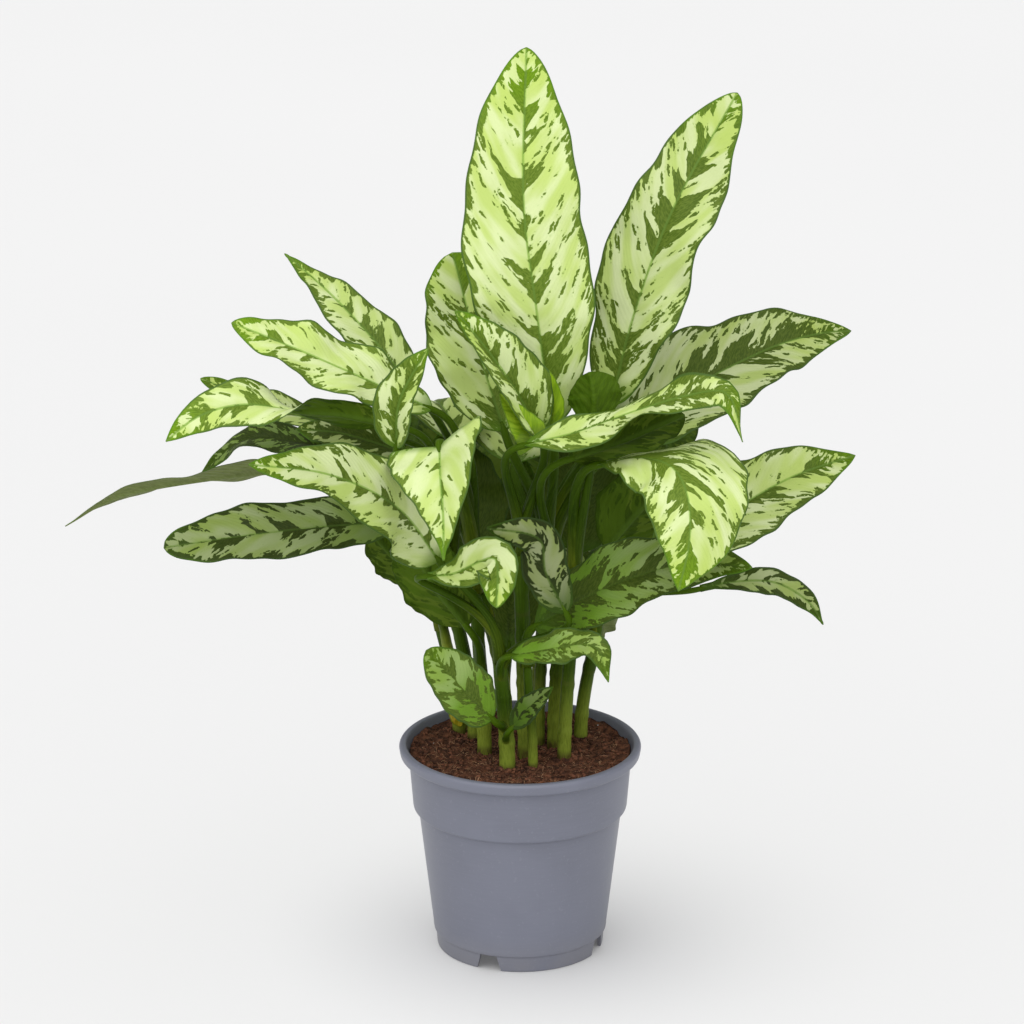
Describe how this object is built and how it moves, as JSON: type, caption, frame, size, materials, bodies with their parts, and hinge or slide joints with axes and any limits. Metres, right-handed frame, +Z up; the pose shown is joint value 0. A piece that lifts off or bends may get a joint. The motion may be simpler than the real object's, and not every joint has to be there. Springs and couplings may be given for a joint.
{
  "type": "potted chinese evergreen",
  "caption": "Potted Chinese evergreen: variegated arching leaves on long petioles from upright canes, in a round tapered nursery pot filled with peat soil",
  "frame": {"origin": "under the middle of the plant's spread, on the surface that the pot stands on; the pot's axis stands at x 0.0425, y -0.0142", "axes": "+Z is up, -Y is the plant's front, +X is its right side seen from the front"},
  "size_m": [0.5598, 0.3598, 0.643],
  "materials": {
    "pot_plastic": "blue grey injection moulded plastic, satin",
    "soil_peat": "damp fibrous peat and coir, dull",
    "stem_green": "smooth fleshy green stems, semi gloss",
    "blade_variegated": "pale and dark green blotched leaf, semi gloss"
  },
  "bodies": {
    "root": {"leaf_back_centre": "blade_variegated", "leaf_back_inner_left": "blade_variegated", "leaf_back_inner_mid": "blade_variegated", "leaf_back_inner_right": "blade_variegated", "leaf_back_left": "blade_variegated", "leaf_back_low": "blade_variegated", "leaf_back_right": "blade_variegated", "leaf_behind_top": "blade_variegated", "leaf_bright_centre": "blade_variegated", "leaf_dull_centre": "blade_variegated", "leaf_folded_left": "blade_variegated", "leaf_green_right": "blade_variegated", "leaf_hanging_back": "blade_variegated", "leaf_hanging_left": "blade_variegated", "leaf_knob": "blade_variegated", "leaf_left_arching": "blade_variegated", "leaf_left_back": "blade_variegated", "leaf_left_front": "blade_variegated", "leaf_left_inner": "blade_variegated", "leaf_left_mid": "blade_variegated", "leaf_left_under": "blade_variegated", "leaf_long_left": "blade_variegated", "leaf_low_left": "blade_variegated", "leaf_low_right": "blade_variegated", "leaf_lower_left": "blade_variegated", "leaf_lower_right": "blade_variegated", "leaf_olive_right": "blade_variegated", "leaf_right_arching": "blade_variegated", "leaf_right_front": "blade_variegated", "leaf_right_low": "blade_variegated", "leaf_right_mid": "blade_variegated", "leaf_small_upright": "blade_variegated", "leaf_tall_right": "blade_variegated", "leaf_tiny": "blade_variegated", "leaf_top": "blade_variegated", "leaf_twisted_right": "blade_variegated", "leaf_under_arching": "blade_variegated", "leaf_upper_left": "blade_variegated", "leaf_young_folded": "blade_variegated", "pot": "pot_plastic", "shoot_back": "stem_green", "shoot_centre": "stem_green", "shoot_front": "stem_green", "shoot_left": "stem_green", "shoot_left_back": "stem_green", "shoot_left_inner": "stem_green", "shoot_mid": "stem_green", "shoot_mid_left": "stem_green", "shoot_right": "stem_green", "shoot_right_front": "stem_green", "shoot_slim": "stem_green", "shoot_yellow": "stem_green", "soil": "soil_peat"}
  },
  "joints": []
}
